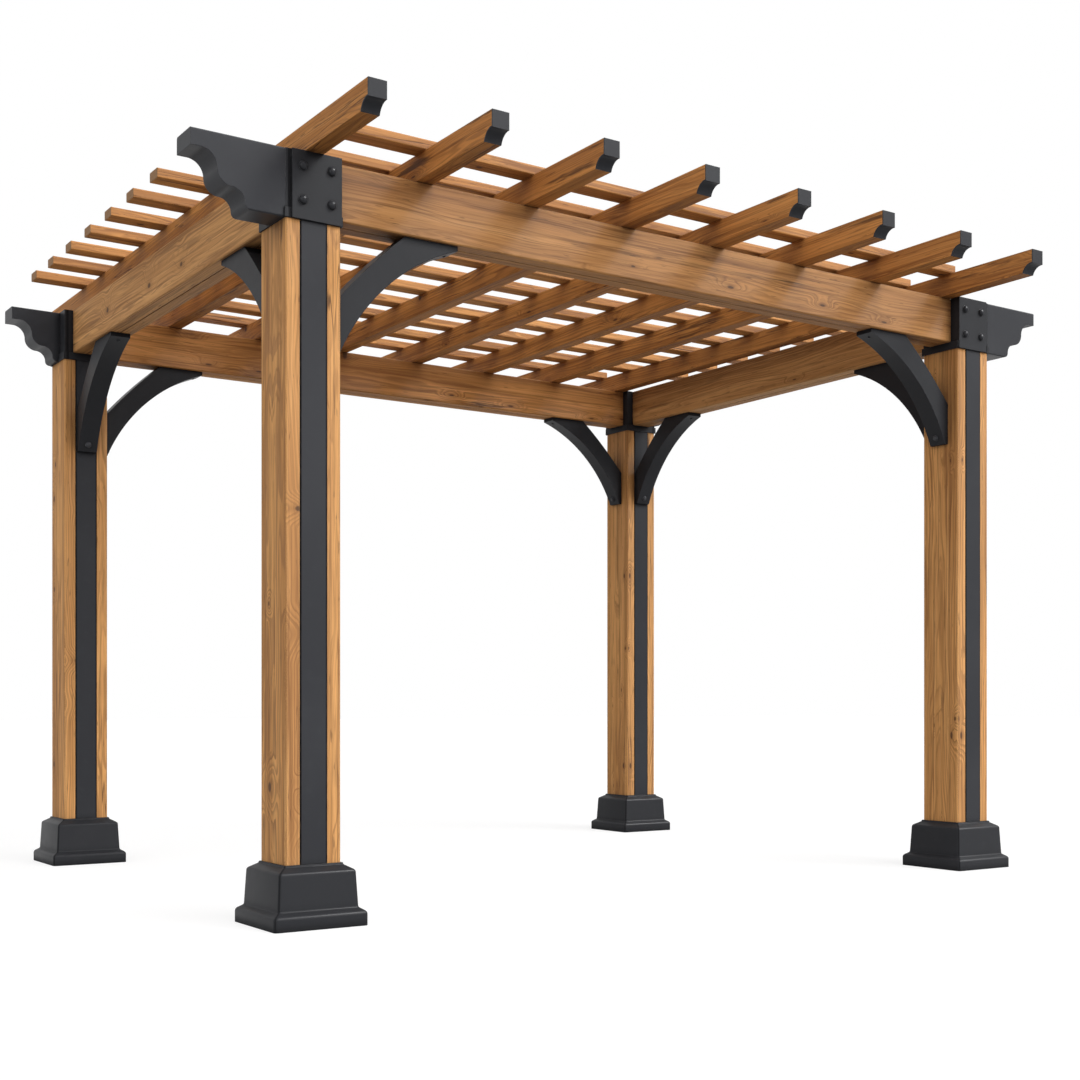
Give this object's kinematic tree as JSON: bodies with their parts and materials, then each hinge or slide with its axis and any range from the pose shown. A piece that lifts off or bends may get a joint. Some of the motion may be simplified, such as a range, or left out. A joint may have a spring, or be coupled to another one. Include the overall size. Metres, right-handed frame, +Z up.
{
  "type": "pergola",
  "caption": "Open timber pergola on square posts with dark metal skirts, strips, corner connectors, arched knee braces and moulded tails, roofed by rafters and slats.",
  "frame": {"origin": "on the ground, under the middle of the roof", "axes": "+X along the front beam to the right, +Y from front to rear, +Z up"},
  "size_m": [3.782, 3.27, 2.477],
  "materials": {
    "stained_timber": "satin stain over sawn grain",
    "charcoal_metal": "satin powder coat"
  },
  "bodies": {
    "root": {"post_front_left": "stained_timber", "post_front_right": "stained_timber", "post_rear_left": "stained_timber", "post_rear_right": "stained_timber", "strips_front_left": "charcoal_metal", "strips_front_right": "charcoal_metal", "strips_rear_left": "charcoal_metal", "strips_rear_right": "charcoal_metal", "skirt_front_left": "charcoal_metal", "skirt_front_right": "charcoal_metal", "skirt_rear_left": "charcoal_metal", "skirt_rear_right": "charcoal_metal", "connector_front_left": "charcoal_metal", "connector_front_right": "charcoal_metal", "connector_rear_left": "charcoal_metal", "connector_rear_right": "charcoal_metal", "beam_front": "stained_timber", "beam_rear": "stained_timber", "beam_left": "stained_timber", "beam_right": "stained_timber", "tail_front_left": "charcoal_metal", "tail_front_right": "charcoal_metal", "tail_rear_left": "charcoal_metal", "tail_rear_right": "charcoal_metal", "brace_front_left_x": "charcoal_metal", "brace_front_right_x": "charcoal_metal", "brace_rear_left_x": "charcoal_metal", "brace_rear_right_x": "charcoal_metal", "brace_front_left_y": "charcoal_metal", "brace_front_right_y": "charcoal_metal", "brace_rear_left_y": "charcoal_metal", "brace_rear_right_y": "charcoal_metal", "rafter_1": "stained_timber", "rafter_2": "stained_timber", "rafter_3": "stained_timber", "rafter_4": "stained_timber", "rafter_5": "stained_timber", "rafter_6": "stained_timber", "rafter_7": "stained_timber", "rafter_8": "stained_timber", "rafter_caps_front": "charcoal_metal", "rafter_caps_rear": "charcoal_metal", "slats": "stained_timber"}
  },
  "joints": []
}
